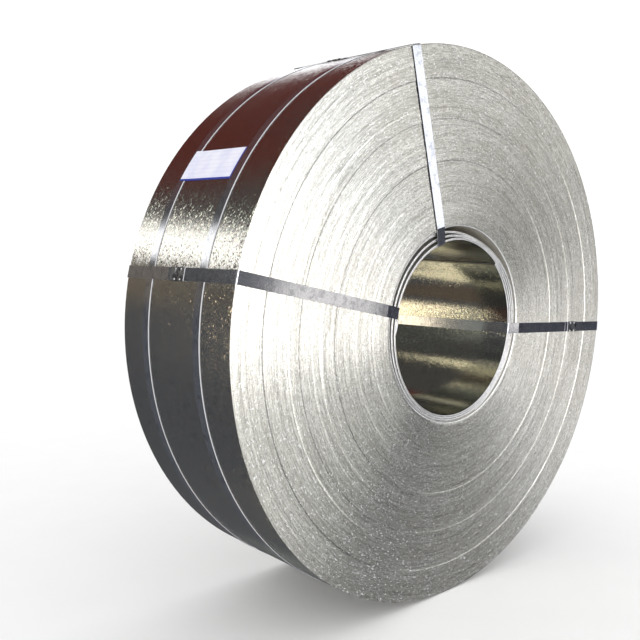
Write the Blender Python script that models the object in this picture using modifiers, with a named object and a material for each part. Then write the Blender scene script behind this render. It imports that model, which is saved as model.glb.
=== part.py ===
"""A slit coil of galvanised steel strip, lying on its side with its steel strapping.

Metres, +Z up. The coil's axis lies along Y, its front end faces -Y, and the origin is
on the floor under the middle of the coil.
"""

import math
import random

import bmesh
import bpy
from mathutils import Matrix, Vector

# The wound strip
OUTER_RADIUS = 0.790
BORE_RADIUS = 0.254
STRIP_WIDTH = 0.480
FACETS = 60

# The tight pack, whose groups of turns stand in and out a little on both ends
PACK_GROUPS = 7
GROUP_JITTER = 0.35
GROUP_RECESS = 0.0025
FRONT_SEED = 4
REAR_SEED = 11

# The loose wraps left between the tight pack and the bore
LOOSE_BAND = 0.042
LOOSE_WRAPS = 3
LOOSE_RECESS = 0.006
WRAP_GAP = 0.004
WRAP_GAP_DEPTH = 0.025

# The crescent where the loose wraps have dropped away from the pack
SAG_WIDTH = 0.016
SAG_ANGLE = 68.0
SAG_HALF_SPAN = 60.0
SAG_STEPS = 20

# Steel strapping, the same stock for hoops and for straps through the bore
STRAP_WIDTH = 0.032
STRAP_THICKNESS = 0.0009
STRAP_BEND = 0.003
BEND_STEPS = 4
CLEARANCE = 0.0003
STRAP_TAIL = 0.014
FRONT_HOOP_FROM_FRONT = 0.135
REAR_HOOP_FROM_REAR = 0.113

# Where each strap through the bore lies: its angle round the coil, and how far it
# stands beside that radius on the front end and on the rear end
EYE_STRAP_ANGLE = {"eye_strap_left": 169.2, "eye_strap_top": 105.5, "eye_strap_right": -1.9}
FRONT_OFFSET = {"eye_strap_left": -0.0058, "eye_strap_top": 0.0163, "eye_strap_right": -0.0024}
REAR_OFFSET = {"eye_strap_left": 0.0058, "eye_strap_top": 0.0163, "eye_strap_right": -0.0183}

# Crimped seals, each round the lap of its strap's two ends
SEAL_LENGTH = 0.057
SEAL_WALL = 0.0009
SEAL_LIP = 0.009
CRIMP_RADIUS = 0.006
CRIMP_DEPTH = 0.0006
CRIMP_PITCH = 0.024
CRIMP_SEGMENTS = 16
HOOP_SEAL_ANGLE = 36.0
LEFT_SEAL_BEFORE_MIDDLE = 0.016
TOP_SEAL_BEFORE_REAR_HOOP = 0.067
RIGHT_SEAL_FROM_RIM = 0.175

# Label stuck on the outer wrap behind the front hoop, its rear end over the rear hoop
LABEL_ANGLE = 147.9
LABEL_HEIGHT = 0.094
LABEL_MARGIN = 0.0010
LABEL_OVERLAP = 0.022
LABEL_TENT = 0.005
LABEL_THICKNESS = 0.0004
LABEL_STEPS = 4

# Sizes that follow from the ones above
HALF_FACET = math.pi / FACETS
HALF_WIDTH = STRIP_WIDTH / 2
PACK_BORE = BORE_RADIUS + LOOSE_BAND
HOOP_INNER = OUTER_RADIUS + CLEARANCE
HOOP_OUTER = HOOP_INNER + STRAP_THICKNESS
REAR_HOOP_FROM_FRONT = STRIP_WIDTH - REAR_HOOP_FROM_REAR
HOOP_FROM_FRONT = {
    "hoop_strap_front": FRONT_HOOP_FROM_FRONT,
    "hoop_strap_rear": REAR_HOOP_FROM_FRONT,
}
LAP_REACH = SEAL_LENGTH / 2 + STRAP_TAIL
SEAL_ROOF = 2 * STRAP_THICKNESS + CLEARANCE
SEAL_HEIGHT = SEAL_ROOF + SEAL_WALL
BETWEEN_HOOPS = (FRONT_HOOP_FROM_FRONT + REAR_HOOP_FROM_FRONT) / 2
OUTER_SEAL_FROM_FRONT = {
    "eye_strap_left": BETWEEN_HOOPS - LEFT_SEAL_BEFORE_MIDDLE,
    "eye_strap_top": REAR_HOOP_FROM_FRONT - TOP_SEAL_BEFORE_REAR_HOOP,
}
RIGHT_SEAL_RADIUS = OUTER_RADIUS - RIGHT_SEAL_FROM_RIM
EYE_STANDOFF = STRAP_THICKNESS + 2 * CLEARANCE
EYE_OUTER = OUTER_RADIUS + EYE_STANDOFF
EYE_END = HALF_WIDTH + EYE_STANDOFF
AXIS_HEIGHT = HOOP_OUTER * math.cos(HALF_FACET)


def clear_scene():
    for obj in list(bpy.data.objects):
        bpy.data.objects.remove(obj, do_unlink=True)


def new_collection(name):
    coll = bpy.data.collections.new(name)
    bpy.context.scene.collection.children.link(coll)
    return coll


def principled(name, colour, roughness, metallic):
    mat = bpy.data.materials.new(name)
    mat.use_nodes = True
    shader = mat.node_tree.nodes["Principled BSDF"]
    shader.inputs["Base Color"].default_value = (*colour, 1.0)
    shader.inputs["Roughness"].default_value = roughness
    shader.inputs["Metallic"].default_value = metallic
    mat.diffuse_color = (*colour, 1.0)
    return mat


def galvanised_strip():
    return principled("galvanised_strip", (0.62, 0.63, 0.62), 0.34, 1.0)


def strap_steel():
    return principled("strap_steel", (0.46, 0.48, 0.53), 0.36, 1.0)


def seal_steel():
    return principled("seal_steel", (0.36, 0.37, 0.40), 0.38, 1.0)


def label_paper():
    return principled("label_paper", (0.82, 0.83, 0.93), 0.55, 0.0)


def around_axis(angle):
    """Rotation that takes local X to the given direction round the coil's axis."""
    return Matrix.Rotation(-math.radians(angle), 4, "Y")


def at_axis():
    return Matrix.Translation((0, 0, AXIS_HEIGHT))


def bake(obj, sharp=30.0):
    """Replace an object by its evaluated mesh, welded and shaded smooth."""
    graph = bpy.context.evaluated_depsgraph_get()
    graph.update()
    mesh = bpy.data.meshes.new_from_object(obj.evaluated_get(graph))
    name = obj.name
    place = obj.matrix_world.copy()
    owner = obj.users_collection[0]
    material = obj.active_material
    bpy.data.objects.remove(obj, do_unlink=True)
    weld(mesh)
    mesh.shade_smooth()
    mesh.set_sharp_from_angle(angle=math.radians(sharp))
    solid = bpy.data.objects.new(name, mesh)
    owner.objects.link(solid)
    solid.matrix_world = place
    if material and not mesh.materials:
        mesh.materials.append(material)
    return solid


def weld(mesh):
    bm = bmesh.new()
    bm.from_mesh(mesh)
    bmesh.ops.remove_doubles(bm, verts=bm.verts, dist=0.00001)
    bm.to_mesh(mesh)
    bm.free()


def turned(name, loop, coll, material):
    """Turn a closed (radius, towards the front) outline round the coil's axis."""
    cosine, sine = math.cos(HALF_FACET), math.sin(HALF_FACET)
    verts = [(r * cosine, r * sine, z) for r, z in loop]
    edges = [(i, (i + 1) % len(loop)) for i in range(len(loop))]
    mesh = bpy.data.meshes.new(name)
    mesh.from_pydata(verts, edges, [])
    mesh.materials.append(material)
    obj = bpy.data.objects.new(name, mesh)
    coll.objects.link(obj)
    screw = obj.modifiers.new("turn", "SCREW")
    screw.axis = "Z"
    screw.angle = math.tau
    screw.steps = FACETS
    screw.render_steps = FACETS
    screw.use_merge_vertices = True
    screw.merge_threshold = 0.00001
    obj.matrix_world = at_axis() @ Matrix.Rotation(math.radians(90), 4, "X")
    return obj


def outline(name, loops, depth, coll, material=None):
    """A flat outline in local XY, with holes, extruded to depth along local Z."""
    curve = bpy.data.curves.new(name, "CURVE")
    curve.dimensions = "2D"
    curve.fill_mode = "BOTH"
    curve.extrude = depth / 2
    for loop in loops:
        spline = curve.splines.new("POLY")
        spline.points.add(len(loop) - 1)
        spline.use_cyclic_u = True
        for point, (x, y) in zip(spline.points, loop):
            point.co = (x, y, 0, 1)
    obj = bpy.data.objects.new(name, curve)
    coll.objects.link(obj)
    if material:
        curve.materials.append(material)
    return obj


def end_groups(seed):
    """Radius and recess along one end of the tight pack, from its outside inwards."""
    rng = random.Random(seed)
    pitch = (OUTER_RADIUS - PACK_BORE) / PACK_GROUPS
    radius = OUTER_RADIUS
    points = []
    recess = 0.0
    for k in range(PACK_GROUPS):
        last = k == PACK_GROUPS - 1
        jitter = 0.0 if last else rng.uniform(-GROUP_JITTER, GROUP_JITTER)
        inner = OUTER_RADIUS - (k + 1 + jitter) * pitch
        points += [(radius, recess), (inner, recess)]
        radius = inner
        step = rng.uniform(0.3, 1.0) * GROUP_RECESS
        recess = step if recess < GROUP_RECESS / 3 else 0.0
    return points


def loose_wraps():
    """Radius and recess across the loose wraps, from the pack in to the bore."""
    pitch = (PACK_BORE - BORE_RADIUS) / LOOSE_WRAPS
    points = []
    for k in range(LOOSE_WRAPS):
        outer = PACK_BORE - k * pitch
        points += [
            (outer, WRAP_GAP_DEPTH),
            (outer - WRAP_GAP, WRAP_GAP_DEPTH),
            (outer - WRAP_GAP, LOOSE_RECESS),
            (outer - pitch, LOOSE_RECESS),
        ]
    return points


def sag_cutter(coll):
    """Crescent prism between the pack and the wraps that have dropped from it."""
    outer, inner = [], []
    for k in range(SAG_STEPS + 1):
        share = 2 * k / SAG_STEPS - 1
        angle = math.radians(SAG_ANGLE + share * SAG_HALF_SPAN)
        drop = SAG_WIDTH * math.cos(share * math.pi / 2) ** 2
        direction = Vector((math.cos(angle), math.sin(angle)))
        outer.append(direction * (PACK_BORE - CLEARANCE))
        inner.append(direction * (PACK_BORE - CLEARANCE - drop))
    loop = outer + inner[-2:0:-1]
    cutter = outline("sag_cutter", [loop], STRIP_WIDTH * 1.2, coll)
    cutter.matrix_world = at_axis() @ Matrix.Rotation(math.radians(90), 4, "X")
    bpy.context.view_layer.update()
    cutter = bake(cutter)
    cutter.hide_render = True
    cutter.display_type = "WIRE"
    return cutter


def strip_coil(parts, cutters):
    front = [(r, HALF_WIDTH - d) for r, d in end_groups(FRONT_SEED) + loose_wraps()]
    rear = [(r, d - HALF_WIDTH) for r, d in end_groups(REAR_SEED) + loose_wraps()]
    loop = rear + front[::-1]
    coil = turned("strip_coil", loop, parts, galvanised_strip())
    cut = coil.modifiers.new("sag", "BOOLEAN")
    cut.operation = "DIFFERENCE"
    cut.object = sag_cutter(cutters)
    bpy.context.view_layer.update()
    return bake(coil)


def facet_radius(radius, angle):
    """Distance from the axis to the side of a faceted ring, at an angle in radians."""
    off_middle = (angle + HALF_FACET) % (2 * HALF_FACET) - HALF_FACET
    return radius * math.cos(HALF_FACET) / math.cos(off_middle)


def ring_corners(radius):
    """Angle and radius of the corners of a faceted ring, anticlockwise."""
    return [((2 * k + 1) * HALF_FACET, radius) for k in range(FACETS)]


def lapped_ring(radius):
    """The same corners, raised by one strap thickness where the two ends lap."""
    raised = radius + STRAP_THICKNESS / math.cos(HALF_FACET)
    middle = math.radians(HOOP_SEAL_ANGLE)
    first = middle - LAP_REACH / radius
    last = middle + LAP_REACH / radius
    corners = [(a, raised if first < a < last else radius) for a, _ in ring_corners(radius)]
    steps = [
        (first, facet_radius(radius, first)),
        (first, facet_radius(raised, first)),
        (last, facet_radius(raised, last)),
        (last, facet_radius(radius, last)),
    ]
    return sorted(corners + steps, key=lambda corner: corner[0])


def hoop_strap(name, from_front, parts, steel):
    """A strap pulled round the outer wrap, its ends lapped under the seal."""
    loops = [
        [(radius * math.cos(angle), radius * math.sin(angle)) for angle, radius in ring]
        for ring in (lapped_ring(HOOP_OUTER), ring_corners(HOOP_INNER))
    ]
    hoop = outline(name, loops, STRAP_WIDTH, parts, steel)
    place = Matrix.Translation((0, from_front - HALF_WIDTH, 0)) @ at_axis()
    hoop.matrix_world = place @ Matrix.Rotation(math.radians(90), 4, "X")
    bpy.context.view_layer.update()
    return bake(hoop)


def side_offset(strap, y):
    """How far beside its radius an eye strap lies, at a place along the coil's axis."""
    share = (y + HALF_WIDTH) / STRIP_WIDTH
    return FRONT_OFFSET[strap] * (1 - share) + REAR_OFFSET[strap] * share


def skew(strap):
    """Rise of an eye strap's runs beside its radius, for each metre along the axis."""
    return (REAR_OFFSET[strap] - FRONT_OFFSET[strap]) / STRIP_WIDTH


def bore_seat(strap):
    """Distance from the axis at which the flat strap's edges meet the bore's wall."""
    wall = BORE_RADIUS * math.cos(HALF_FACET) - CLEARANCE
    furthest = max(abs(side_offset(strap, -EYE_END)), abs(side_offset(strap, EYE_END)))
    return math.sqrt(wall ** 2 - (STRAP_WIDTH / 2 + furthest) ** 2)


def rounded_corners(low, high, end, bend):
    """The four rounded corners of a strap's path: rear rim, rear bore, front bore, front rim."""
    centres = [
        (high - bend, end - bend, 0),
        (low + bend, end - bend, 90),
        (low + bend, bend - end, 180),
        (high - bend, bend - end, 270),
    ]
    corners = []
    for x, y, start in centres:
        turns = [math.radians(start + 90 * k / BEND_STEPS) for k in range(BEND_STEPS + 1)]
        corners.append([(x + bend * math.cos(a), y + bend * math.sin(a)) for a in turns])
    return corners


def lap_on_outer_run(x, from_front):
    """Raised lap of the strap's ends where it crosses the outer wrap."""
    near = from_front - HALF_WIDTH - LAP_REACH
    far = from_front - HALF_WIDTH + LAP_REACH
    raised = x + STRAP_THICKNESS
    return [(x, near), (raised, near), (raised, far), (x, far)]


def lap_on_front_run(y, radius):
    """Raised lap of the strap's ends where it runs down the front end."""
    low, high = radius - LAP_REACH, radius + LAP_REACH
    raised = y - STRAP_THICKNESS
    return [(low, y), (low, raised), (high, raised), (high, y)]


def eye_strap(name, parts, steel):
    """A strap through the bore, round both ends and over the outer wrap and the hoops."""
    seat = bore_seat(name)
    top = EYE_OUTER + STRAP_THICKNESS
    end = EYE_END + STRAP_THICKNESS
    inside = sum(rounded_corners(seat, EYE_OUTER, EYE_END, STRAP_BEND), [])
    corners = rounded_corners(seat - STRAP_THICKNESS, top, end, STRAP_BEND + STRAP_THICKNESS)
    if name == "eye_strap_right":
        corners.insert(3, lap_on_front_run(-end, RIGHT_SEAL_RADIUS))
    else:
        corners.append(lap_on_outer_run(top, OUTER_SEAL_FROM_FRONT[name]))
    strap = outline(name, [sum(corners, []), inside], STRAP_WIDTH, parts, steel)
    strap.matrix_world = at_axis() @ around_axis(EYE_STRAP_ANGLE[name])
    bpy.context.view_layer.update()
    strap = bake(strap)
    lean = Matrix.Translation((0, 0, side_offset(name, 0)))
    lean[2][1] = skew(name)
    strap.data.transform(lean)
    return strap


def seal_section(lipped):
    """Cross section of a seal, strap's underside at Y = 0, its lips folded under."""
    inner = STRAP_WIDTH / 2 + CLEARANCE
    outer = inner + SEAL_WALL
    if not lipped:
        half = [(inner, SEAL_ROOF), (inner, 0), (outer, 0), (outer, SEAL_HEIGHT)]
    else:
        tip = inner - SEAL_LIP
        half = [
            (inner, SEAL_ROOF),
            (inner, -CLEARANCE),
            (tip, -CLEARANCE),
            (tip, -CLEARANCE - SEAL_WALL),
            (outer, -CLEARANCE - SEAL_WALL),
            (outer, SEAL_HEIGHT),
        ]
    return half + [(-x, y) for x, y in half[::-1]]


def crimp_cutter(name, place, coll):
    """Upright pins that bite the crimps into both sides of a seal."""
    bm = bmesh.new()
    reach = STRAP_WIDTH / 2 + CLEARANCE + SEAL_WALL - CRIMP_DEPTH + CRIMP_RADIUS
    for side in (-1, 1):
        for end in (-1, 1):
            spot = Matrix.Translation((side * reach, 0, end * CRIMP_PITCH / 2))
            bmesh.ops.create_cone(
                bm,
                cap_ends=True,
                segments=CRIMP_SEGMENTS,
                radius1=CRIMP_RADIUS,
                radius2=CRIMP_RADIUS,
                depth=6 * SEAL_HEIGHT,
                matrix=spot @ Matrix.Rotation(math.radians(90), 4, "X"),
            )
    mesh = bpy.data.meshes.new(name + "_crimps")
    bm.to_mesh(mesh)
    bm.free()
    cutter = bpy.data.objects.new(name + "_crimps", mesh)
    coll.objects.link(cutter)
    cutter.matrix_world = place
    cutter.hide_render = True
    cutter.display_type = "WIRE"
    return cutter


def seal(name, place, lipped, parts, cutters, steel):
    """A crimped seal: local Z runs along the strap and local Y away from the coil."""
    body = outline(name, [seal_section(lipped)], SEAL_LENGTH, parts, steel)
    body.matrix_world = place
    bpy.context.view_layer.update()
    body = bake(body)
    cut = body.modifiers.new("crimps", "BOOLEAN")
    cut.operation = "DIFFERENCE"
    cut.object = crimp_cutter(name, place, cutters)
    bpy.context.view_layer.update()
    return bake(body)


def frame_from(across, outward, along, point):
    """Matrix whose X, Y and Z axes are the three directions given."""
    turn = Matrix((across, outward, along)).transposed().to_4x4()
    return Matrix.Translation(point) @ turn


def hoop_seal_place(from_front):
    """On a hoop strap, over the middle of one of its flats."""
    angle = math.radians(HOOP_SEAL_ANGLE)
    outward = Vector((math.cos(angle), 0, math.sin(angle)))
    point = outward * HOOP_INNER * math.cos(HALF_FACET)
    point += Vector((0, from_front - HALF_WIDTH, AXIS_HEIGHT))
    across = Vector((0, 1, 0))
    return frame_from(across, outward, across.cross(outward), point)


def strap_frame(strap, radius, y):
    """Point on an eye strap's underside, with its outward and tangent directions."""
    angle = math.radians(EYE_STRAP_ANGLE[strap])
    outward = Vector((math.cos(angle), 0, math.sin(angle)))
    tangent = Vector((-math.sin(angle), 0, math.cos(angle)))
    point = outward * radius + tangent * side_offset(strap, y) + Vector((0, y, AXIS_HEIGHT))
    return point, outward, tangent


def outer_seal_place(strap):
    """On an eye strap where it runs across the outer wrap."""
    y = OUTER_SEAL_FROM_FRONT[strap] - HALF_WIDTH
    point, outward, tangent = strap_frame(strap, EYE_OUTER, y)
    along = (Vector((0, 1, 0)) + tangent * skew(strap)).normalized()
    return frame_from(outward.cross(along), outward, along, point)


def end_seal_place(strap, radius):
    """On an eye strap where it runs down the front end."""
    point, along, _ = strap_frame(strap, radius, -EYE_END)
    outward = Vector((0, -1, 0))
    return frame_from(outward.cross(along), outward, along, point)


def label_profile():
    """Radius and place along the axis, from the front hoop to its seat on the rear hoop."""
    front, rear = HOOP_FROM_FRONT.values()
    near = HALF_WIDTH - front - STRAP_WIDTH / 2 - LABEL_MARGIN
    hoop_edge = HALF_WIDTH - rear + STRAP_WIDTH / 2
    low = OUTER_RADIUS + CLEARANCE
    high = HOOP_OUTER + CLEARANCE
    return [
        (low, near),
        (low, hoop_edge + LABEL_TENT),
        (high, hoop_edge + CLEARANCE),
        (high, hoop_edge - LABEL_OVERLAP),
    ]


def label(parts):
    """Paper label bent to the outer wrap, stepping up onto the rear hoop."""
    span = LABEL_HEIGHT / OUTER_RADIUS
    start = math.radians(LABEL_ANGLE) - span / 2
    mesh = bpy.data.meshes.new("label")
    verts = [(r * math.cos(start), r * math.sin(start), z) for r, z in label_profile()]
    mesh.from_pydata(verts, [(k, k + 1) for k in range(len(verts) - 1)], [])
    mesh.materials.append(label_paper())
    obj = bpy.data.objects.new("label", mesh)
    parts.objects.link(obj)
    sweep = obj.modifiers.new("sweep", "SCREW")
    sweep.axis = "Z"
    sweep.angle = span
    sweep.steps = LABEL_STEPS
    sweep.render_steps = LABEL_STEPS
    sweep.use_merge_vertices = False
    paper = obj.modifiers.new("paper", "SOLIDIFY")
    paper.thickness = LABEL_THICKNESS
    paper.offset = 1.0
    obj.matrix_world = at_axis() @ Matrix.Rotation(math.radians(90), 4, "X")
    bpy.context.view_layer.update()
    return bake(obj)


def build():
    clear_scene()
    parts = new_collection("steel_strip_coil")
    cutters = new_collection("cutters")
    steel = strap_steel()
    seals = seal_steel()
    strip_coil(parts, cutters)
    for name, from_front in HOOP_FROM_FRONT.items():
        hoop_strap(name, from_front, parts, steel)
        place = hoop_seal_place(from_front)
        seal(name.replace("strap", "seal"), place, False, parts, cutters, seals)
    for name in EYE_STRAP_ANGLE:
        eye_strap(name, parts, steel)
    places = {
        "eye_seal_left": outer_seal_place("eye_strap_left"),
        "eye_seal_top": outer_seal_place("eye_strap_top"),
        "eye_seal_right": end_seal_place("eye_strap_right", RIGHT_SEAL_RADIUS),
    }
    for name, place in places.items():
        seal(name, place, True, parts, cutters, seals)
    label(parts)


build()
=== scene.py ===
"""Looks of a slit coil of galvanised steel strip with its strapping, seals and label.

Metres, +Z up. The coil's axis lies along Y and its front end faces -Y. Angles round the
coil are in degrees, 0 towards +X and 90 upwards.
"""

import math
import random

import bpy
from mathutils import Matrix, Vector


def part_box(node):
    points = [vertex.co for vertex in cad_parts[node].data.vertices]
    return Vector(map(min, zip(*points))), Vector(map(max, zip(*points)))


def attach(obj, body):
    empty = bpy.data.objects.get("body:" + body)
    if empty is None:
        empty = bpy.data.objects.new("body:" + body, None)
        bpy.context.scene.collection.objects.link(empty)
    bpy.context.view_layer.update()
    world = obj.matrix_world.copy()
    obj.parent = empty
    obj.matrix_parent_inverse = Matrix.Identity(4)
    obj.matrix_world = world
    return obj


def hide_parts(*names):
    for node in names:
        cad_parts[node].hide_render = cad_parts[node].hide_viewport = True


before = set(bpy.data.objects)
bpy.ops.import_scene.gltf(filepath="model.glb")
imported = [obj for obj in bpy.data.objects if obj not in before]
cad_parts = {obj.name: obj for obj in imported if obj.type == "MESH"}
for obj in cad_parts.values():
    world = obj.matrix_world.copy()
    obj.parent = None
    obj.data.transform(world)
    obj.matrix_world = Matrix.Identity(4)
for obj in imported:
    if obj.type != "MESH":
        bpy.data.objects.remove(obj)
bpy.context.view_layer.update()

# Sizes read from the frame
COIL_LOW, COIL_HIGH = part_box("strip_coil")
AXIS_HEIGHT = (COIL_LOW[2] + COIL_HIGH[2]) / 2
COIL_RADIUS = (COIL_HIGH[0] - COIL_LOW[0]) / 2
FRONT = COIL_LOW[1]
REAR = COIL_HIGH[1]
WIDTH = REAR - FRONT
HOOP_RADIUS = (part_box("hoop_strap_front")[1][0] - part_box("hoop_strap_front")[0][0]) / 2

# The wound strip
OUTER_TURN = 0.0010
OUTER_TURN_INSET = 0.0003
OUTER_END_ANGLE = -40.0
FRONT_PITCH = 0.0018
REAR_PITCH = 0.0027
FRONT_SEED = 21
REAR_SEED = 22
BORE_RADIUS = 0.254
PACK_BORE = 0.296
PACK_RING = 0.285
PACK_RISE = 0.0115
PACK_LIP = 0.0012
SETTLE_RINGS = 6
SETTLE_FIRST = 0.003
SETTLE_APART = 0.009
AROUND = 192

# How far the turns stand in: in groups of turns, in a few at a time and each by itself
GROUP_DEPTHS = (0.0001, 0.0003, 0.0005, 0.0008, 0.0012)
GROUP_TURNS = (4, 26)
FEW_DEPTHS = (0.0, 0.00016)
FEW_TURNS = (2, 5)
TURN_DEPTHS = (0.0001, 0.00018)

# The loose wraps and the crescent that they leave under the pack
WRAP_WALL = 0.0058
WRAP_RECESS = 0.0058
WRAP_START = 47.0
WRAP_SHIFT = 72.0
WRAP_LENGTH = 1195.0
WRAP_STEP = 3.0
WRAP_WANDER = 0.0006
WRAP_EDGE_BEVEL = 0.0013
WRAP_GAP = 0.0012
WRAP_FLAT = 0.97
WRAP_BEVELLED = 0.2
FOURTH_WRAP_FROM = -75.0
FOURTH_WRAP_SPAN = 35.0
CRESCENT_WIDTH = 0.0225
CRESCENT_ANGLE = 72.0
CRESCENT_HALF_SPAN = 55.0

# Steel strapping and where each strap through the bore lies
STRAP_WIDTH = 0.032
STRAP_THICKNESS = 0.0009
STRAP_BEND = 0.0035
STRAP_DIP = 0.0064
PACK_EDGE_BEND = 0.012
PACK_EDGE_REACH = 0.006
HOOP_FRONT_LIP = 0.0034
HOOP_REAR_LIP = 0.0010
HOOP_EDGE_WALL = 0.0003
SURFACE_GAP = 0.0001
STRAP_PLAY = 0.0003
EYE_ANGLE = {"eye_strap_left": 169.2, "eye_strap_top": 105.5, "eye_strap_right": -1.9}
FRONT_OFFSET = {"eye_strap_left": -0.0058, "eye_strap_top": 0.0163, "eye_strap_right": -0.0024}
REAR_OFFSET = {"eye_strap_left": 0.0058, "eye_strap_top": 0.0163, "eye_strap_right": -0.0183}
EYE_RADIUS = HOOP_RADIUS + STRAP_PLAY
EYE_REACH = 0.0015

# Crimped seals over the laps
SEAL_LENGTH = 0.057
SEAL_WALL = 0.0009
SEAL_LIP = 0.009
SEAL_PLAY = 0.0007
SEAL_STEPS = 38
SEAL_BEND = 0.0010
SEAL_LIP_BEND = 0.0005
SEAL_FOOT = 0.0002
ROOF_STEP = 0.0040
CRIMP_APART = 0.024
CRIMP_REACHES = (0.0044, 0.0030, 0.0016)
CRIMP_SIDE = 0.0140
CRIMP_IN = 0.0006
CRIMP_DOWN = 0.0003
CRIMP_FROM = 0.0004
# Painted glints on each seal: bright patches at the crimps and a bright band at one end
CRIMP_GLINT_REACH = 0.0024
CRIMP_GLINT_SIDE = 0.0122
CRIMP_GLINT_FROM = 0.0008
BRIGHT_LIP = 0.0022
STRAP_TAIL = 0.014
LAP_REACH = SEAL_LENGTH / 2 + STRAP_TAIL
LAP_RUN = 0.004
LAP_STEPS = 8
LAP_SINK = 0.0008
LAP_RAMP = 0.3
TAIL_LIFT = 0.0008
RIGHT_TAIL_LIFT = 0.0006
HOOP_SEAL_ANGLE = 36.0
LEFT_SEAL_Y = FRONT + 0.235
TOP_SEAL_Y = FRONT + 0.300
RIGHT_SEAL_RADIUS = 0.615

# Label
LABEL_ANGLES = (144.5, 151.3)
LABEL_THICKNESS = 0.0004
LABEL_STEPS = 14
LABEL_TENT = (0.0050, 0.0004)
LABEL_REST = 0.0002
RULING = 0.0055
BORDER_EDGE = 0.0010
FRONT_BORDER = 0.0052
LOWER_BORDER = 0.0056

# Zinc spangle: few grains lean steeply, and all lean more near the front end
RIM_DEPTH = 0.035
RIM_LEAN = 1.7
STEEP_GRAINS = (0.05, 0.25)
STEEP_LEAN = 2.9
USUAL_LEAN = 0.9

# A face looks along a direction when its normal has more than this share of it
FACING = 0.45

# Camera, at the photograph's viewing angle
CAMERA_PLACE = (-1.7780, -1.6723, 1.0273)
CAMERA_YAW = -44.734
CAMERA_PITCH = 5.546
CAMERA_ROLL = 2.032
FOCAL_PIXELS = 788.69
SHIFT_PIXELS = -50.0
PICTURE_PIXELS = 640.0
SENSOR_WIDTH = 36.0

# White room and its floor, and what the steel reflects below and above the horizon
FLOOR_SIZE = 60.0
ROOM_STRENGTH = 1.10
HORIZON = (2.0, 7.0)
DIM_BELOW = (0.092, 0.095, 0.104)
DIM_ABOVE = (0.085, 0.082, 0.076)


def round_axis(radius, angle, y):
    """Point at an angle round the coil's axis."""
    a = math.radians(angle)
    return Vector((radius * math.cos(a), y, AXIS_HEIGHT + radius * math.sin(a)))


def outward(angle):
    """Direction straight off the coil at an angle."""
    a = math.radians(angle)
    return Vector((math.cos(a), 0, math.sin(a)))


def along_turn(angle):
    """Direction round the coil at an angle."""
    a = math.radians(angle)
    return Vector((-math.sin(a), 0, math.cos(a)))


def from_axis(point):
    """Distance of a point from the coil's axis."""
    return math.hypot(point.x, point.z - AXIS_HEIGHT)


def ease(share):
    """Soft start and end between 0 and 1."""
    share = min(1.0, max(0.0, share))
    return share * share * (3 - 2 * share)


def rounded(corners, steps=5):
    """Points of an open line through (x, y, bend radius) corners, each run kept flat."""
    points = []
    for k, (x, y, bend) in enumerate(corners):
        here = Vector((x, y))
        if bend == 0 or k in (0, len(corners) - 1):
            points.append(here)
            continue
        before = Vector(corners[k - 1][:2]) - here
        after = Vector(corners[k + 1][:2]) - here
        reach = bend / math.tan(before.angle(after) / 2)
        reach = min(reach, 0.45 * before.length, 0.45 * after.length)
        first = here + before.normalized() * reach
        last = here + after.normalized() * reach
        points.append(first + before.normalized() * 0.1 * reach)
        for j in range(steps + 1):
            t = j / steps
            points.append(first * (1 - t) ** 2 + here * 2 * t * (1 - t) + last * t ** 2)
        points.append(last + after.normalized() * 0.1 * reach)
    return points


def edit():
    """Opens the active mesh with all of it selected."""
    bpy.ops.object.mode_set(mode="EDIT")
    bpy.ops.mesh.select_all(action="SELECT")


def leave_edit():
    bpy.ops.object.mode_set(mode="OBJECT")


def only(obj):
    """Selects one object and nothing else."""
    bpy.ops.object.select_all(action="DESELECT")
    obj.select_set(True)
    bpy.context.view_layer.objects.active = obj


def pick(obj, test):
    """Opens the mesh with just the vertices selected whose place passes the test."""
    edit()
    bpy.ops.mesh.select_all(action="DESELECT")
    leave_edit()
    for vertex in obj.data.vertices:
        vertex.select = test(vertex.co)
    bpy.ops.object.mode_set(mode="EDIT")


def draw_line(name, points):
    """Draws a line of edges through the points, one vertex extruded after another."""
    bpy.ops.object.select_all(action="DESELECT")
    bpy.ops.mesh.primitive_plane_add(size=0.002, location=points[0])
    obj = bpy.context.object
    obj.name = name
    obj.data.name = name
    edit()
    bpy.ops.mesh.merge(type="CENTER")
    for here, there in zip(points, points[1:]):
        step = tuple(there - here)
        bpy.ops.mesh.extrude_region_move(TRANSFORM_OT_translate={"value": step})
    leave_edit()
    bpy.ops.object.transform_apply(location=True, rotation=True, scale=True)
    return obj


def close_line(obj):
    """Joins the two ends of a drawn line."""
    last = len(obj.data.vertices) - 1
    ends = (obj.data.vertices[0].co.copy(), obj.data.vertices[last].co.copy())
    pick(obj, lambda place: place in ends)
    bpy.ops.mesh.edge_face_add()
    leave_edit()


def spin_round(obj):
    """Spins a drawn profile once round the coil's axis and closes it."""
    edit()
    bpy.ops.mesh.spin(
        steps=AROUND, angle=math.tau, center=(0, 0, AXIS_HEIGHT), axis=(0, 1, 0)
    )
    bpy.ops.mesh.select_all(action="SELECT")
    bpy.ops.mesh.remove_doubles(threshold=0.00002)
    bpy.ops.mesh.normals_make_consistent(inside=False)
    leave_edit()


def pull(obj, move, steps=1):
    """Extrudes the whole drawn line sideways into a sheet."""
    edit()
    step = tuple(part / steps for part in move)
    for _ in range(steps):
        bpy.ops.mesh.extrude_region_move(TRANSFORM_OT_translate={"value": step})
    bpy.ops.mesh.select_all(action="SELECT")
    bpy.ops.mesh.normals_make_consistent(inside=False)
    leave_edit()


def apply_all(obj):
    """Applies the modifiers of a piece."""
    only(obj)
    for mod in list(obj.modifiers):
        bpy.ops.object.modifier_apply(modifier=mod.name)


def thicken(obj, thickness, offset):
    """Gives a sheet its wall."""
    mod = obj.modifiers.new("wall", "SOLIDIFY")
    mod.thickness = thickness
    mod.offset = offset
    mod.use_even_offset = True
    apply_all(obj)


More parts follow.
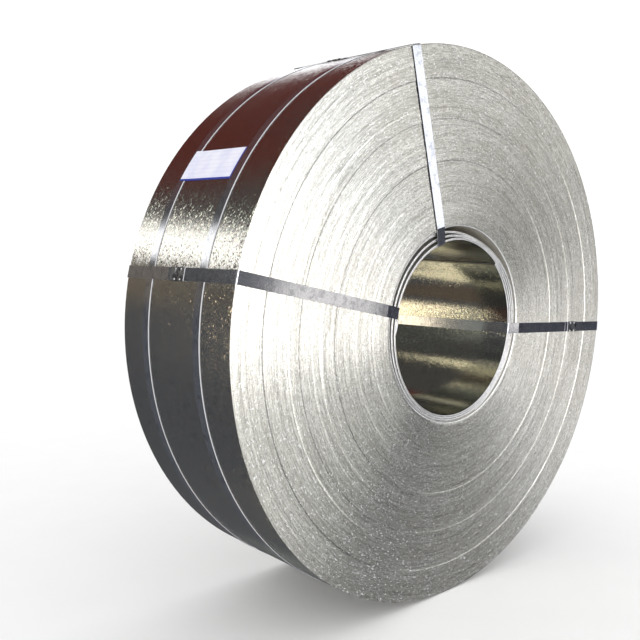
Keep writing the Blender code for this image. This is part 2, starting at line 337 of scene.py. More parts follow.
def soften(obj, width):
    """Rounds the sharp edges of a piece."""
    mod = obj.modifiers.new("edge", "BEVEL")
    mod.width = width
    mod.segments = 2
    mod.limit_method = "ANGLE"
    mod.angle_limit = math.radians(50.0)
    apply_all(obj)


def smooth(obj, angle):
    """Shades a piece smooth, but for edges sharper than the angle."""
    only(obj)
    bpy.ops.object.shade_smooth_by_angle(angle=math.radians(angle))


def finish_faces(obj, materials, choose):
    """Gives a piece its materials and picks one for each face."""
    for material in materials:
        obj.data.materials.append(material)
    for face in obj.data.polygons:
        face.material_index = choose(face)


def join(first, second):
    """Makes the second piece part of the first."""
    only(first)
    second.select_set(True)
    bpy.ops.object.join()
    return first


def start_material(name):
    """A new material, its node tree and its shader."""
    mat = bpy.data.materials.new(name)
    mat.use_nodes = True
    tree = mat.node_tree
    shader = tree.nodes["Principled BSDF"]
    return mat, tree, shader


def feed(tree, socket, value):
    """A socket takes a plain value or another node's output."""
    if isinstance(value, bpy.types.NodeSocket):
        tree.links.new(value, socket)
    elif isinstance(value, tuple) and len(value) == 3 and socket.type == "RGBA":
        socket.default_value = (*value, 1.0)
    else:
        socket.default_value = value


def maths(tree, operation, *values):
    made = tree.nodes.new("ShaderNodeMath")
    made.operation = operation
    for socket, value in zip(made.inputs, values):
        feed(tree, socket, value)
    return made.outputs[0]


def vectors(tree, operation, *values):
    made = tree.nodes.new("ShaderNodeVectorMath")
    made.operation = operation
    for socket, value in zip(made.inputs, values):
        feed(tree, socket, value)
    return made


def scale_by(tree, vector, factor):
    """A vector times a plain or linked factor."""
    made = tree.nodes.new("ShaderNodeVectorMath")
    made.operation = "SCALE"
    feed(tree, made.inputs[0], vector)
    feed(tree, made.inputs["Scale"], factor)
    return made.outputs[0]


def spread(tree, value, low, high, new_low=0.0, new_high=1.0):
    """Carries a value from one range softly over to another."""
    made = tree.nodes.new("ShaderNodeMapRange")
    made.interpolation_type = "SMOOTHSTEP"
    for socket, part in zip(made.inputs, (value, low, high, new_low, new_high)):
        feed(tree, socket, part)
    return made.outputs[0]


def mix(tree, factor, first, second, blend="MIX"):
    """Blends two colours."""
    made = tree.nodes.new("ShaderNodeMix")
    made.data_type = "RGBA"
    made.blend_type = blend
    sockets = (made.inputs[0], made.inputs[6], made.inputs[7])
    for socket, value in zip(sockets, (factor, first, second)):
        feed(tree, socket, value)
    return made.outputs[2]


def object_point(tree):
    """Place on the piece, in metres."""
    return tree.nodes.new("ShaderNodeTexCoord").outputs["Object"]


def parts_of(tree, vector):
    """The X, Y and Z of a vector."""
    made = tree.nodes.new("ShaderNodeSeparateXYZ")
    tree.links.new(vector, made.inputs[0])
    return made.outputs


def scaled(tree, vector, scale, location=(0, 0, 0)):
    """A vector stretched and moved by fixed amounts."""
    made = tree.nodes.new("ShaderNodeMapping")
    made.inputs["Scale"].default_value = scale
    made.inputs["Location"].default_value = location
    tree.links.new(vector, made.inputs["Vector"])
    return made.outputs[0]


def noise(tree, vector, scale, detail=3.0, roughness=0.55):
    made = tree.nodes.new("ShaderNodeTexNoise")
    made.inputs["Scale"].default_value = scale
    made.inputs["Detail"].default_value = detail
    made.inputs["Roughness"].default_value = roughness
    tree.links.new(vector, made.inputs["Vector"])
    return made.outputs["Fac"]


def bump(tree, height, strength, distance, normal=None):
    made = tree.nodes.new("ShaderNodeBump")
    made.inputs["Strength"].default_value = strength
    made.inputs["Distance"].default_value = distance
    tree.links.new(height, made.inputs["Height"])
    if normal:
        tree.links.new(normal, made.inputs["Normal"])
    return made.outputs[0]


def polar(tree):
    """Radius from the coil's axis, and the outward direction."""
    centred = scaled(tree, object_point(tree), (1, 0, 1), (0, 0, -AXIS_HEIGHT))
    length = vectors(tree, "LENGTH", centred)
    unit = vectors(tree, "NORMALIZE", centred)
    return length.outputs["Value"], unit.outputs["Vector"]


def ring_point(tree, radius, unit, across, along):
    """Noise coordinates: fine from turn to turn, long round the coil."""
    x, _, z = parts_of(tree, unit)
    joined = tree.nodes.new("ShaderNodeCombineXYZ")
    tree.links.new(maths(tree, "MULTIPLY", radius, across), joined.inputs[0])
    tree.links.new(maths(tree, "MULTIPLY", x, along), joined.inputs[1])
    tree.links.new(maths(tree, "MULTIPLY", z, along), joined.inputs[2])
    return joined.outputs[0]


def spangled_normal(tree, point, size, tilt):
    """Surface direction that each spangle grain tilts its own way, and the grains' tones."""
    cells = tree.nodes.new("ShaderNodeTexVoronoi")
    cells.inputs["Scale"].default_value = 1 / size
    tree.links.new(point, cells.inputs["Vector"])
    grains = cells.outputs["Color"]
    lean = vectors(tree, "SUBTRACT", grains, (0.5, 0.5, 0.5))
    upright = parts_of(tree, grains)[2]
    steep = spread(tree, upright, *STEEP_GRAINS, STEEP_LEAN, USUAL_LEAN)
    lean = scale_by(tree, lean.outputs[0], maths(tree, "MULTIPLY", steep, tilt))
    flat = tree.nodes.new("ShaderNodeNewGeometry").outputs["Normal"]
    leaning = vectors(tree, "ADD", flat, lean)
    return vectors(tree, "NORMALIZE", leaning.outputs[0]).outputs[0], grains


def rolled_zinc(name, dark, light, rough, cell, tilt, wave, metallic=1.0):
    """The strip's rolled face: zinc spangle, fine roll lines, soft waves."""
    mat, tree, shader = start_material(name)
    point = object_point(tree)
    grain = noise(tree, point, 330.0, 4.0, 0.7)
    patches = noise(tree, point, 38.0, 3.0, 0.6)
    lines = noise(tree, scaled(tree, point, (5.0, 420.0, 5.0)), 1.0, 4.0, 0.6)
    waves = noise(tree, scaled(tree, point, (4.0, 1.2, 4.0)), 1.0, 2.0, 0.4)
    along = parts_of(tree, point)[1]
    rim = spread(tree, along, FRONT, FRONT + RIM_DEPTH, RIM_LEAN * tilt, tilt)
    leaning, flakes = spangled_normal(tree, point, cell, rim)
    tone = mix(tree, spread(tree, grain, 0.35, 0.65), dark, light)
    tone = mix(tree, 0.12, tone, flakes, "SOFT_LIGHT")
    tone = mix(tree, spread(tree, patches, 0.55, 0.75, 0.0, 0.40), tone, (0.34, 0.33, 0.31))
    tree.links.new(tone, shader.inputs["Base Color"])
    shader.inputs["Metallic"].default_value = metallic
    roughness = maths(tree, "MULTIPLY_ADD", grain, 0.08, rough)
    roughness = maths(tree, "MULTIPLY_ADD", lines, 0.05, roughness)
    tree.links.new(roughness, shader.inputs["Roughness"])
    first = bump(tree, waves, wave, 0.010, leaning)
    second = bump(tree, lines, 0.08, 0.0005, first)
    third = bump(tree, grain, 0.25, 0.0003, second)
    tree.links.new(third, shader.inputs["Normal"])
    return mat


def sheared_edges():
    """The ends of the turns: bright cut edges in fine rings, broken by dashes and dark specks,
    with painted glints as small near-white spots.
    """
    mat, tree, shader = start_material("sheared_edges")
    radius, unit = polar(tree)
    dashes = noise(tree, ring_point(tree, radius, unit, 420.0, 26.0), 1.0, 3.0, 0.6)
    rings = noise(tree, ring_point(tree, radius, unit, 230.0, 3.0), 1.0, 3.0, 0.6)
    grooves = noise(tree, ring_point(tree, radius, unit, 95.0, 2.4), 1.0, 2.0, 0.5)
    bands = noise(tree, ring_point(tree, radius, unit, 24.0, 1.2), 1.0, 3.0, 0.55)
    speck = noise(tree, object_point(tree), 290.0, 2.0, 0.6)
    glint = noise(tree, ring_point(tree, radius, unit, 300.0, 80.0), 1.0, 1.0, 0.5)
    tone = mix(tree, spread(tree, dashes, 0.34, 0.66), (0.52, 0.515, 0.49), (0.84, 0.835, 0.80))
    tone = mix(tree, spread(tree, rings, 0.38, 0.50, 0.42, 0.0), tone, (0.28, 0.275, 0.25))
    tone = mix(tree, spread(tree, bands, 0.36, 0.62, 0.30, 0.0), tone, (0.42, 0.41, 0.37))
    tone = mix(tree, spread(tree, grooves, 0.67, 0.73, 0.0, 0.40), tone, (0.17, 0.165, 0.15))
    tone = mix(tree, spread(tree, speck, 0.56, 0.66, 0.0, 0.65), tone, (0.24, 0.235, 0.22))
    # Painted glints: small near-white, half-metallic spots
    white = spread(tree, glint, 0.63, 0.68)
    tone = mix(tree, white, tone, (0.95, 0.95, 0.96))
    tree.links.new(tone, shader.inputs["Base Color"])
    tree.links.new(maths(tree, "MULTIPLY_ADD", white, -0.50, 1.0), shader.inputs["Metallic"])
    rough = maths(tree, "MULTIPLY_ADD", speck, 0.14, 0.22)
    tree.links.new(rough, shader.inputs["Roughness"])
    shader.inputs["Anisotropic"].default_value = 0.92
    tree.links.new(unit, shader.inputs["Tangent"])
    first = bump(tree, rings, 0.14, 0.0010)
    second = bump(tree, dashes, 0.16, 0.0006, first)
    third = bump(tree, speck, 0.50, 0.0005, second)
    tree.links.new(third, shader.inputs["Normal"])
    return mat


def cut_edge_and_highlight():
    """Fresh cut edge of strip and strapping, its near-white colour partly the bare steel and
    partly a painted highlight, so it is bright from every side.
    """
    mat, tree, shader = start_material("cut_edge_and_highlight")
    point = object_point(tree)
    grain = noise(tree, point, 300.0, 3.0, 0.6)
    nicks = noise(tree, point, 90.0, 3.0, 0.6)
    # The near-white tone is partly a painted highlight; the dark nicks are wear
    tone = mix(tree, spread(tree, grain, 0.3, 0.7), (0.80, 0.80, 0.85), (0.95, 0.95, 0.98))
    tone = mix(tree, spread(tree, nicks, 0.62, 0.72, 0.0, 0.7), tone, (0.35, 0.35, 0.38))
    tree.links.new(tone, shader.inputs["Base Color"])
    shader.inputs["Metallic"].default_value = 0.25
    tree.links.new(maths(tree, "MULTIPLY_ADD", grain, 0.2, 0.35), shader.inputs["Roughness"])
    tree.links.new(bump(tree, grain, 0.2, 0.0003), shader.inputs["Normal"])
    return mat


def strapping():
    """Cool grey steel strapping with fine grain and scuffs."""
    mat, tree, shader = start_material("strapping")
    point = object_point(tree)
    grain = noise(tree, point, 260.0, 4.0, 0.7)
    scuffs = noise(tree, point, 44.0, 5.0, 0.65)
    tone = mix(tree, spread(tree, grain, 0.3, 0.7), (0.40, 0.42, 0.47), (0.62, 0.64, 0.70))
    tone = mix(tree, spread(tree, scuffs, 0.50, 0.66, 0.0, 0.5), tone, (0.24, 0.25, 0.28))
    tree.links.new(tone, shader.inputs["Base Color"])
    shader.inputs["Metallic"].default_value = 0.94
    rough = maths(tree, "MULTIPLY_ADD", grain, 0.08, 0.03)
    rough = maths(tree, "MULTIPLY_ADD", scuffs, 0.06, rough)
    tree.links.new(rough, shader.inputs["Roughness"])
    first = bump(tree, scuffs, 0.12, 0.0006)
    tree.links.new(bump(tree, grain, 0.10, 0.0002, first), shader.inputs["Normal"])
    return mat


def seal_steel():
    """Dull dark sleeve steel in random darker and lighter patches."""
    mat, tree, shader = start_material("seal_steel")
    point = object_point(tree)
    grain = noise(tree, point, 300.0, 4.0, 0.7)
    patches = noise(tree, point, 60.0, 3.0, 0.6)
    tone = mix(tree, spread(tree, patches, 0.4, 0.6), (0.06, 0.065, 0.075), (0.24, 0.25, 0.27))
    tree.links.new(tone, shader.inputs["Base Color"])
    shader.inputs["Metallic"].default_value = 1.0
    tree.links.new(maths(tree, "MULTIPLY_ADD", grain, 0.22, 0.18), shader.inputs["Roughness"])
    tree.links.new(bump(tree, grain, 0.3, 0.0005), shader.inputs["Normal"])
    return mat


def label_card():
    """Pale lavender label with faint plain ruling, a deep blue band along its front and lower
    edges, and nothing printed.
    """
    mat, tree, shader = start_material("label_card")
    point = object_point(tree)
    fibre = noise(tree, point, 500.0, 3.0, 0.6)
    soft = noise(tree, point, 25.0, 2.0, 0.5)
    _, along, height = parts_of(tree, point)
    ruled = maths(tree, "PINGPONG", height, RULING)
    rule = spread(tree, ruled, 0.0, 0.0010, 0.35, 0.0)
    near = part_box("label")[0][1] + FRONT_BORDER
    low = round_axis(COIL_RADIUS, LABEL_ANGLES[1], 0).z + LOWER_BORDER
    front = spread(tree, along, near - BORDER_EDGE, near, 1.0, 0.0)
    bottom = spread(tree, height, low - BORDER_EDGE, low, 1.0, 0.0)
    # Deep blue band along the front and lower edges
    border = maths(tree, "MAXIMUM", front, bottom)
    tone = mix(tree, spread(tree, soft, 0.3, 0.7), (0.76, 0.77, 0.93), (0.88, 0.88, 0.98))
    tone = mix(tree, rule, tone, (0.50, 0.52, 0.78))
    tone = mix(tree, border, tone, (0.02, 0.04, 0.36))
    tree.links.new(tone, shader.inputs["Base Color"])
    tree.links.new(maths(tree, "MULTIPLY_ADD", fibre, 0.15, 0.42), shader.inputs["Roughness"])
    tree.links.new(bump(tree, fibre, 0.15, 0.0003), shader.inputs["Normal"])
    return mat


def pale_floor():
    """Plain pale floor with hardly any shine."""
    mat, tree, shader = start_material("pale_floor")
    grain = noise(tree, object_point(tree), 6.0, 2.0, 0.5)
    tone = mix(tree, grain, (0.93, 0.93, 0.93), (0.96, 0.96, 0.96))
    tree.links.new(tone, shader.inputs["Base Color"])
    shader.inputs["Roughness"].default_value = 0.9
    shader.inputs["Specular IOR Level"].default_value = 0.1
    return mat


def turn_edges(seed, pitch, side):
    """Profile of one end of the tight pack, from its outside to its inside."""
    rng = random.Random(seed)
    face = FRONT if side < 0 else REAR
    outside = COIL_RADIUS - 2 * OUTER_TURN
    count = round((outside - PACK_BORE) / pitch)
    points = []
    group, few = 0.0, 0.0
    turns, pair = 0, 0
    for k in range(count + 1):
        radius = outside - (outside - PACK_BORE) * k / count
        if turns == 0:
            group = rng.choice(GROUP_DEPTHS)
            turns = rng.randint(*GROUP_TURNS)
        if pair == 0:
            few = rng.uniform(*FEW_DEPTHS)
            pair = rng.randint(*FEW_TURNS)
        turns -= 1
        pair -= 1
        depth = group + few + rng.uniform(*TURN_DEPTHS)
        points.append(round_axis(radius, 0.0, face - side * depth))
    points[-1].y -= side * PACK_LIP
    return points


def settle_pack(pack):
    """Lets the inner turns of the pack lie lower than its axis, tight under the bore."""
    shrink = (PACK_RING / PACK_BORE) ** (1 / SETTLE_RINGS)
    for k in range(SETTLE_RINGS):
        reach = PACK_BORE + SETTLE_FIRST + SETTLE_APART * k
        pick(pack, lambda place: from_axis(place) < reach)
        bpy.ops.transform.resize(
            value=(shrink, 1, shrink), center_override=(0, 0, AXIS_HEIGHT)
        )
        bpy.ops.transform.translate(value=(0, 0, PACK_RISE / SETTLE_RINGS))
        leave_edit()


def wound_pack(zinc, edges, bright, inner):
    """The tight pack, its turns standing in and out on both ends."""
    front = turn_edges(FRONT_SEED, FRONT_PITCH, -1)
    rear = turn_edges(REAR_SEED, REAR_PITCH, 1)
    pack = draw_line("wound_pack", front + rear[::-1])
    close_line(pack)
    spin_round(pack)
    lip = PACK_BORE + FRONT_PITCH

    def choose(face):
        on_end = abs(face.normal.y) > FACING
        radius = from_axis(face.center)
        # Painted highlight: the end of the innermost turn, at the bore's rim, takes the bright
        # edge colour
        if radius < lip:
            return 2 if on_end else 3
        return 1 if on_end else 0

    finish_faces(pack, (zinc, edges, bright, inner), choose)
    settle_pack(pack)
    smooth(pack, 70.0)
    return pack


def outer_turn(zinc, edges):
    """The last turn of strip, its cut end lying on the turn below."""
    points = []
    for k in range(AROUND + 1):
        radius = COIL_RADIUS - OUTER_TURN * (0.5 + k / AROUND)
        angle = OUTER_END_ANGLE + 360.0 * k / AROUND
        points.append(round_axis(radius, angle, FRONT + OUTER_TURN_INSET))
    sheet = draw_line("outer_turn", points)
    pull(sheet, (0, WIDTH - 2 * OUTER_TURN_INSET, 0))
    thicken(sheet, OUTER_TURN, 0.0)
    end = along_turn(OUTER_END_ANGLE)

    def choose(face):
        tip = round_axis(COIL_RADIUS, OUTER_END_ANGLE, face.center.y)
        at_end = (face.center - tip).length < 2 * OUTER_TURN
        outside = from_axis(face.center) > COIL_RADIUS - 0.8 * OUTER_TURN
        on_cut = at_end and outside and abs(face.normal.dot(end)) > 0.9
        return 1 if abs(face.normal.y) > FACING or on_cut else 0

    finish_faces(sheet, (zinc, edges), choose)
    smooth(sheet, 40.0)
    return sheet


def pack_bore_at(angle):
    """Radius of the settled pack's bore at an angle."""
    return PACK_RING + PACK_RISE * math.sin(math.radians(angle))


def wraps_edge_at(angle):
    """Outside of the loose wraps: close under the pack, but for the crescent."""
    away = abs((angle - CRESCENT_ANGLE + 180) % 360 - 180) / CRESCENT_HALF_SPAN
    gap = CRESCENT_WIDTH * math.cos(min(away, 1.0) * math.pi / 2) ** 2
    return pack_bore_at(angle) - WRAP_GAP - gap


def fourth_wrap_at(angle):
    """How far the fourth wrap has come between the third and the pack, 0 to 1."""
    angle = (angle + 180) % 360 - 180
    if angle > WRAP_START:
        return 1 - ease((angle - WRAP_START) / WRAP_SHIFT)
    return ease((angle - FOURTH_WRAP_FROM) / FOURTH_WRAP_SPAN)


def loose_wraps(zinc, edges, bright, inner):
    """The inner wraps that no longer press on each other, as one open spiral."""
    points = []
    count = round(WRAP_LENGTH / WRAP_STEP)
    for k in range(count + 1):
        travel = k * WRAP_STEP
        angle = WRAP_START - travel
        fourth = fourth_wrap_at(angle)
        wrap = travel // 360
        if travel % 360 > 360 - WRAP_SHIFT:
            wrap += fourth
        band = wraps_edge_at(angle) - WRAP_WALL - BORE_RADIUS
        radius = BORE_RADIUS + WRAP_WALL / 2 + band * wrap / (2 + fourth)
        wander = WRAP_WANDER * (1 + math.sin(math.radians(angle * 2 + travel)))
        points.append(round_axis(radius, angle, FRONT + WRAP_RECESS + wander))
    sheet = draw_line("loose_wraps", points)
    pull(sheet, (0, WIDTH - 2 * (WRAP_RECESS + WRAP_WANDER), 0))
    thicken(sheet, WRAP_WALL, 0.0)
    soften(sheet, WRAP_EDGE_BEVEL)

    def choose(face):
        if abs(face.normal.y) > WRAP_FLAT:
            return 1
        # Painted highlight: the bevels on the wraps' ends take the bright edge colour
        if abs(face.normal.y) > WRAP_BEVELLED:
            return 2
        out = face.center - round_axis(0.0, 0.0, face.center.y)
        return 3 if face.normal.dot(out) > 0 else 0

    finish_faces(sheet, (zinc, edges, bright, inner), choose)
    smooth(sheet, 15.0)
    return sheet


def hoop_lap(y_near, y_far):
    """The upper end of a hoop strap where its two ends lap, cut off square."""
    reach = math.degrees(LAP_REACH / COIL_RADIUS)
    start = HOOP_SEAL_ANGLE - reach - LAP_RAMP
    points = [round_axis(HOOP_RADIUS - LAP_SINK, start, y_near)]
    for k in range(LAP_STEPS + 1):
        angle = HOOP_SEAL_ANGLE - reach + 2 * reach * k / LAP_STEPS
        points.append(round_axis(HOOP_RADIUS + STRAP_THICKNESS / 2, angle, y_near))
    lap = draw_line("hoop_lap", points)
    pull(lap, (0, y_far - y_near, 0))
    thicken(lap, STRAP_THICKNESS, 0.0)
    return lap


def hoop(node, body, edge):
    """A hoop strap round the outer turn, its front and rear lips and its lap's cut end given a
    painted highlight in the bright edge colour.
    """
    low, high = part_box(node)
    near, far = low[1], high[1]
    inner = COIL_RADIUS + SURFACE_GAP
    outer = HOOP_RADIUS - SURFACE_GAP
    front_lip, rear_lip = near + HOOP_FRONT_LIP, far - HOOP_REAR_LIP
    section = [
        (inner, near),
        (inner + HOOP_EDGE_WALL, near),
        (outer, front_lip),
        (outer, rear_lip),
        (inner + HOOP_EDGE_WALL, far),
        (inner, far),
    ]
    band = draw_line(node + "_band", [round_axis(r, 0.0, y) for r, y in section])
    close_line(band)
    spin_round(band)
    band = join(band, hoop_lap(near, far))

    def choose(face):
        # Painted highlight: the lips and the lap's cut end take the bright edge colour
        lip = face.center.y < front_lip or face.center.y > rear_lip
        upright = abs(face.normal.dot(outward(HOOP_SEAL_ANGLE))) < 0.3
        cut = upright and from_axis(face.center) > HOOP_RADIUS
        return 1 if lip or cut else 0

    finish_faces(band, (body, edge), choose)
    smooth(band, 5.0)
    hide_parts(node)
    return band


def side_offset(node, y):
    """How far beside its radius an eye strap lies, at a place along the coil's axis."""
    share = (y - FRONT) / WIDTH
    return FRONT_OFFSET[node] * (1 - share) + REAR_OFFSET[node] * share


def eye_path(node):
    """Corners of a strap's run, from its covered end to its cut end, in (radius, y)."""
    widest = max(abs(FRONT_OFFSET[node]), abs(REAR_OFFSET[node])) + STRAP_WIDTH / 2
    bore = math.sqrt((BORE_RADIUS - STRAP_PLAY) ** 2 - widest ** 2)
    edge = PACK_BORE + PACK_EDGE_REACH
    front, rear = FRONT - EYE_REACH, REAR + EYE_REACH
    bend = STRAP_BEND
    rear_end = [
        (EYE_RADIUS, rear, bend),
        (edge, rear, PACK_EDGE_BEND),
        (bore, rear - STRAP_DIP, bend),
    ]
    front_end = [
        (bore, front + STRAP_DIP, bend),
        (edge, front, PACK_EDGE_BEND),
        (EYE_RADIUS, front, bend),
    ]
    upper = STRAP_THICKNESS + SURFACE_GAP
    if node == "eye_strap_right":
        high = RIGHT_SEAL_RADIUS + LAP_REACH
        low = RIGHT_SEAL_RADIUS - LAP_REACH
        loop = [(high, front, 0)] + front_end[1::-1] + rear_end[::-1] + front_end[2:]
        lap = [
            (high + LAP_RUN, front, 0),
            (high, front - upper, 0),
            (RIGHT_SEAL_RADIUS - SEAL_LENGTH / 2, front - upper, 0),
            (low, front - upper - RIGHT_TAIL_LIFT, 0),
        ]
        return loop + lap
    middle = LEFT_SEAL_Y if node == "eye_strap_left" else TOP_SEAL_Y
    near, far = middle - LAP_REACH, middle + LAP_REACH
    lap = [
        (EYE_RADIUS, near - LAP_RUN, 0),
        (EYE_RADIUS + upper, near, 0),
        (EYE_RADIUS + upper, middle + SEAL_LENGTH / 2, 0),
        (EYE_RADIUS + upper + TAIL_LIFT, far, 0),
    ]
    return [(EYE_RADIUS, near, 0)] + rear_end + front_end + lap


def eye_strap(node, body, edge):
    """A strap through the bore, round both ends, its upper end lapped over the lower."""
    angle = EYE_ANGLE[node]
    side = along_turn(angle)
    points = []
    for radius, y in rounded(eye_path(node)):
        shift = side_offset(node, y) - STRAP_WIDTH / 2
        points.append(round_axis(radius, angle, y) + side * shift)
    strap = draw_line(node + "_band", points)
    pull(strap, side * STRAP_WIDTH)
    thicken(strap, STRAP_THICKNESS, 1.0)
    tip = points[-1] + side * STRAP_WIDTH / 2
    run = (points[-1] - points[-2]).normalized()

    def choose(face):
        # The cut sides and cut end take the bright edge colour: bare steel and a painted highlight
        on_side = abs(face.normal.dot(side)) > FACING
        at_tip = (face.center - tip).length < STRAP_WIDTH and face.normal.dot(run) > 0.6
        return 1 if on_side or at_tip else 0

    finish_faces(strap, (body, edge), choose)
    smooth(strap, 30.0)
    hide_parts(node)
    return strap


def frame_from(along, up, point):
    """Matrix whose Z runs along the strap, whose Y points off the coil and X across."""
    turn = Matrix((up.cross(along), up, along)).transposed().to_4x4()
    return Matrix.Translation(point) @ turn


def eye_seal_place(node):
    """Middle of a seal on its strap's lower surface."""
    strap = node.replace("seal", "strap")
    angle = EYE_ANGLE[strap]
    if strap == "eye_strap_right":
        y = FRONT - EYE_REACH
        point = round_axis(RIGHT_SEAL_RADIUS, angle, y) + along_turn(angle) * side_offset(strap, y)
        return frame_from(outward(angle), Vector((0, -1, 0)), point)
    y = LEFT_SEAL_Y if strap == "eye_strap_left" else TOP_SEAL_Y
    point = round_axis(EYE_RADIUS, angle, y) + along_turn(angle) * side_offset(strap, y)
    slope = (REAR_OFFSET[strap] - FRONT_OFFSET[strap]) / WIDTH
    along = (Vector((0, 1, 0)) + along_turn(angle) * slope).normalized()
    return frame_from(along, outward(angle), point)


def hoop_seal_place(node):
    """Middle of a hoop's seal on the lower surface of its lap."""
    low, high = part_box(node.replace("seal", "strap"))
    middle = (low[1] + high[1]) / 2
    point = round_axis(HOOP_RADIUS - STRAP_THICKNESS, HOOP_SEAL_ANGLE, middle)
    return frame_from(along_turn(HOOP_SEAL_ANGLE), outward(HOOP_SEAL_ANGLE), point)


def seal_section(lipped):
    """Middle line of the sleeve's sheet across the strap."""
    half = STRAP_WIDTH / 2 + SEAL_PLAY
    roof = 2 * STRAP_THICKNESS + SEAL_PLAY
    top = [(x * ROOF_STEP, roof, 0) for x in range(-3, 4)]
    corner = (-half, roof, SEAL_BEND)
    if lipped:
        under = -SEAL_PLAY
        left = [(SEAL_LIP - half, under, 0), (-half, under, SEAL_LIP_BEND), corner]
    else:
        left = [(-half, SEAL_FOOT, 0), corner]
    right = [(-x, y, bend) for x, y, bend in left[::-1]]
    return rounded(left + top + right, 3)


def press_crimp(sleeve, place, side, end):
    """Presses one side of the sleeve in and down, as the crimping jaws do."""
    back = place.inverted()
    for reach in CRIMP_REACHES:

        def bitten(spot):
            x, y, z = back @ spot
            return abs(z - end) < reach and side * x > CRIMP_SIDE - reach and y > CRIMP_FROM

        pick(sleeve, bitten)
        push = place.to_3x3() @ Vector((-side * CRIMP_IN, -CRIMP_DOWN, 0))
        bpy.ops.transform.translate(value=tuple(push))
        leave_edit()


def seal(node, place, lipped, body, edge):
    """A crimped sleeve folded round the lap of a strap."""
    start = [place @ Vector((x, y, -SEAL_LENGTH / 2)) for x, y in seal_section(lipped)]
    sleeve = draw_line(node + "_sleeve", start)
    along = place.to_3x3() @ Vector((0, 0, 1))
    pull(sleeve, along * SEAL_LENGTH, SEAL_STEPS)
    for side in (-1, 1):
        for end in (-CRIMP_APART / 2, CRIMP_APART / 2):
            press_crimp(sleeve, place, side, end)
    thicken(sleeve, SEAL_WALL, 0.0)
    back = place.inverted()

    def choose(face):
        x, y, z = back @ face.center
        # Painted glints at the crimps and along one end, and the sleeve's cut ends, take the
        # bright edge colour
        at_jaw = abs(abs(z) - CRIMP_APART / 2) < CRIMP_GLINT_REACH
        crimp_glint = at_jaw and abs(x) > CRIMP_GLINT_SIDE and y > CRIMP_GLINT_FROM
        lip = z < BRIGHT_LIP - SEAL_LENGTH / 2
        return 1 if crimp_glint or lip or abs(face.normal.dot(along)) > 0.8 else 0

    finish_faces(sleeve, (body, edge), choose)
    smooth(sleeve, 50.0)
    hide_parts(node)
    return sleeve


def coil_label(card):
    """The bare label, lying on the outer turn and stepping up onto the rear hoop."""
    low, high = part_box("label")
    hoop_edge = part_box("hoop_strap_rear")[0][1]
    on_coil = COIL_RADIUS - SURFACE_GAP
    on_hoop = HOOP_RADIUS + LABEL_REST
    line = [
        (on_coil, low[1]),
        (on_coil, hoop_edge - LABEL_TENT[0]),
        (on_hoop, hoop_edge - LABEL_TENT[1]),
        (on_hoop, high[1]),
    ]
    first, last = LABEL_ANGLES
    sheet = draw_line("label_sheet", [round_axis(r, first, y) for r, y in line])
    edit()
    bpy.ops.mesh.spin(
        steps=LABEL_STEPS,
        angle=math.radians(last - first),
        center=(0, 0, AXIS_HEIGHT),
        axis=(0, 1, 0),
    )
    leave_edit()
    thicken(sheet, LABEL_THICKNESS, 0.0)
    finish_faces(sheet, (card,), lambda face: 0)
    smooth(sheet, 12.0)
    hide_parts("label")
    return sheet


def floor():
    bpy.ops.object.select_all(action="DESELECT")
    bpy.ops.mesh.primitive_plane_add(size=FLOOR_SIZE, location=(0, 0, 0))
    ground = bpy.context.object
    ground.name = "studio_floor"
    ground.data.materials.append(pale_floor())
    ground.visible_glossy = False


def panel(tree, total, az, el, across, upward, colour):
    """One soft panel of the studio over what is there: azimuth 0 towards +Y, 90 towards +X.

    across is (from, to, soft edge) and upward is (from, to, soft below, soft above).
    """
    left, right, soft = across
    low, high, below, above = upward
    turned = maths(tree, "SUBTRACT", az, (left + right) / 2)
    turned = maths(tree, "ABSOLUTE", maths(tree, "WRAP", turned, 180.0, -180.0))
    half = (right - left) / 2
    wide = spread(tree, turned, half, half + soft, 1.0, 0.0)
    from_low = spread(tree, el, low - below, low, 0.0, 1.0)
    to_high = spread(tree, el, high, high + above, 1.0, 0.0)
    tall = maths(tree, "MULTIPLY", from_low, to_high)
    return mix(tree, maths(tree, "MULTIPLY", wide, tall), total, colour)


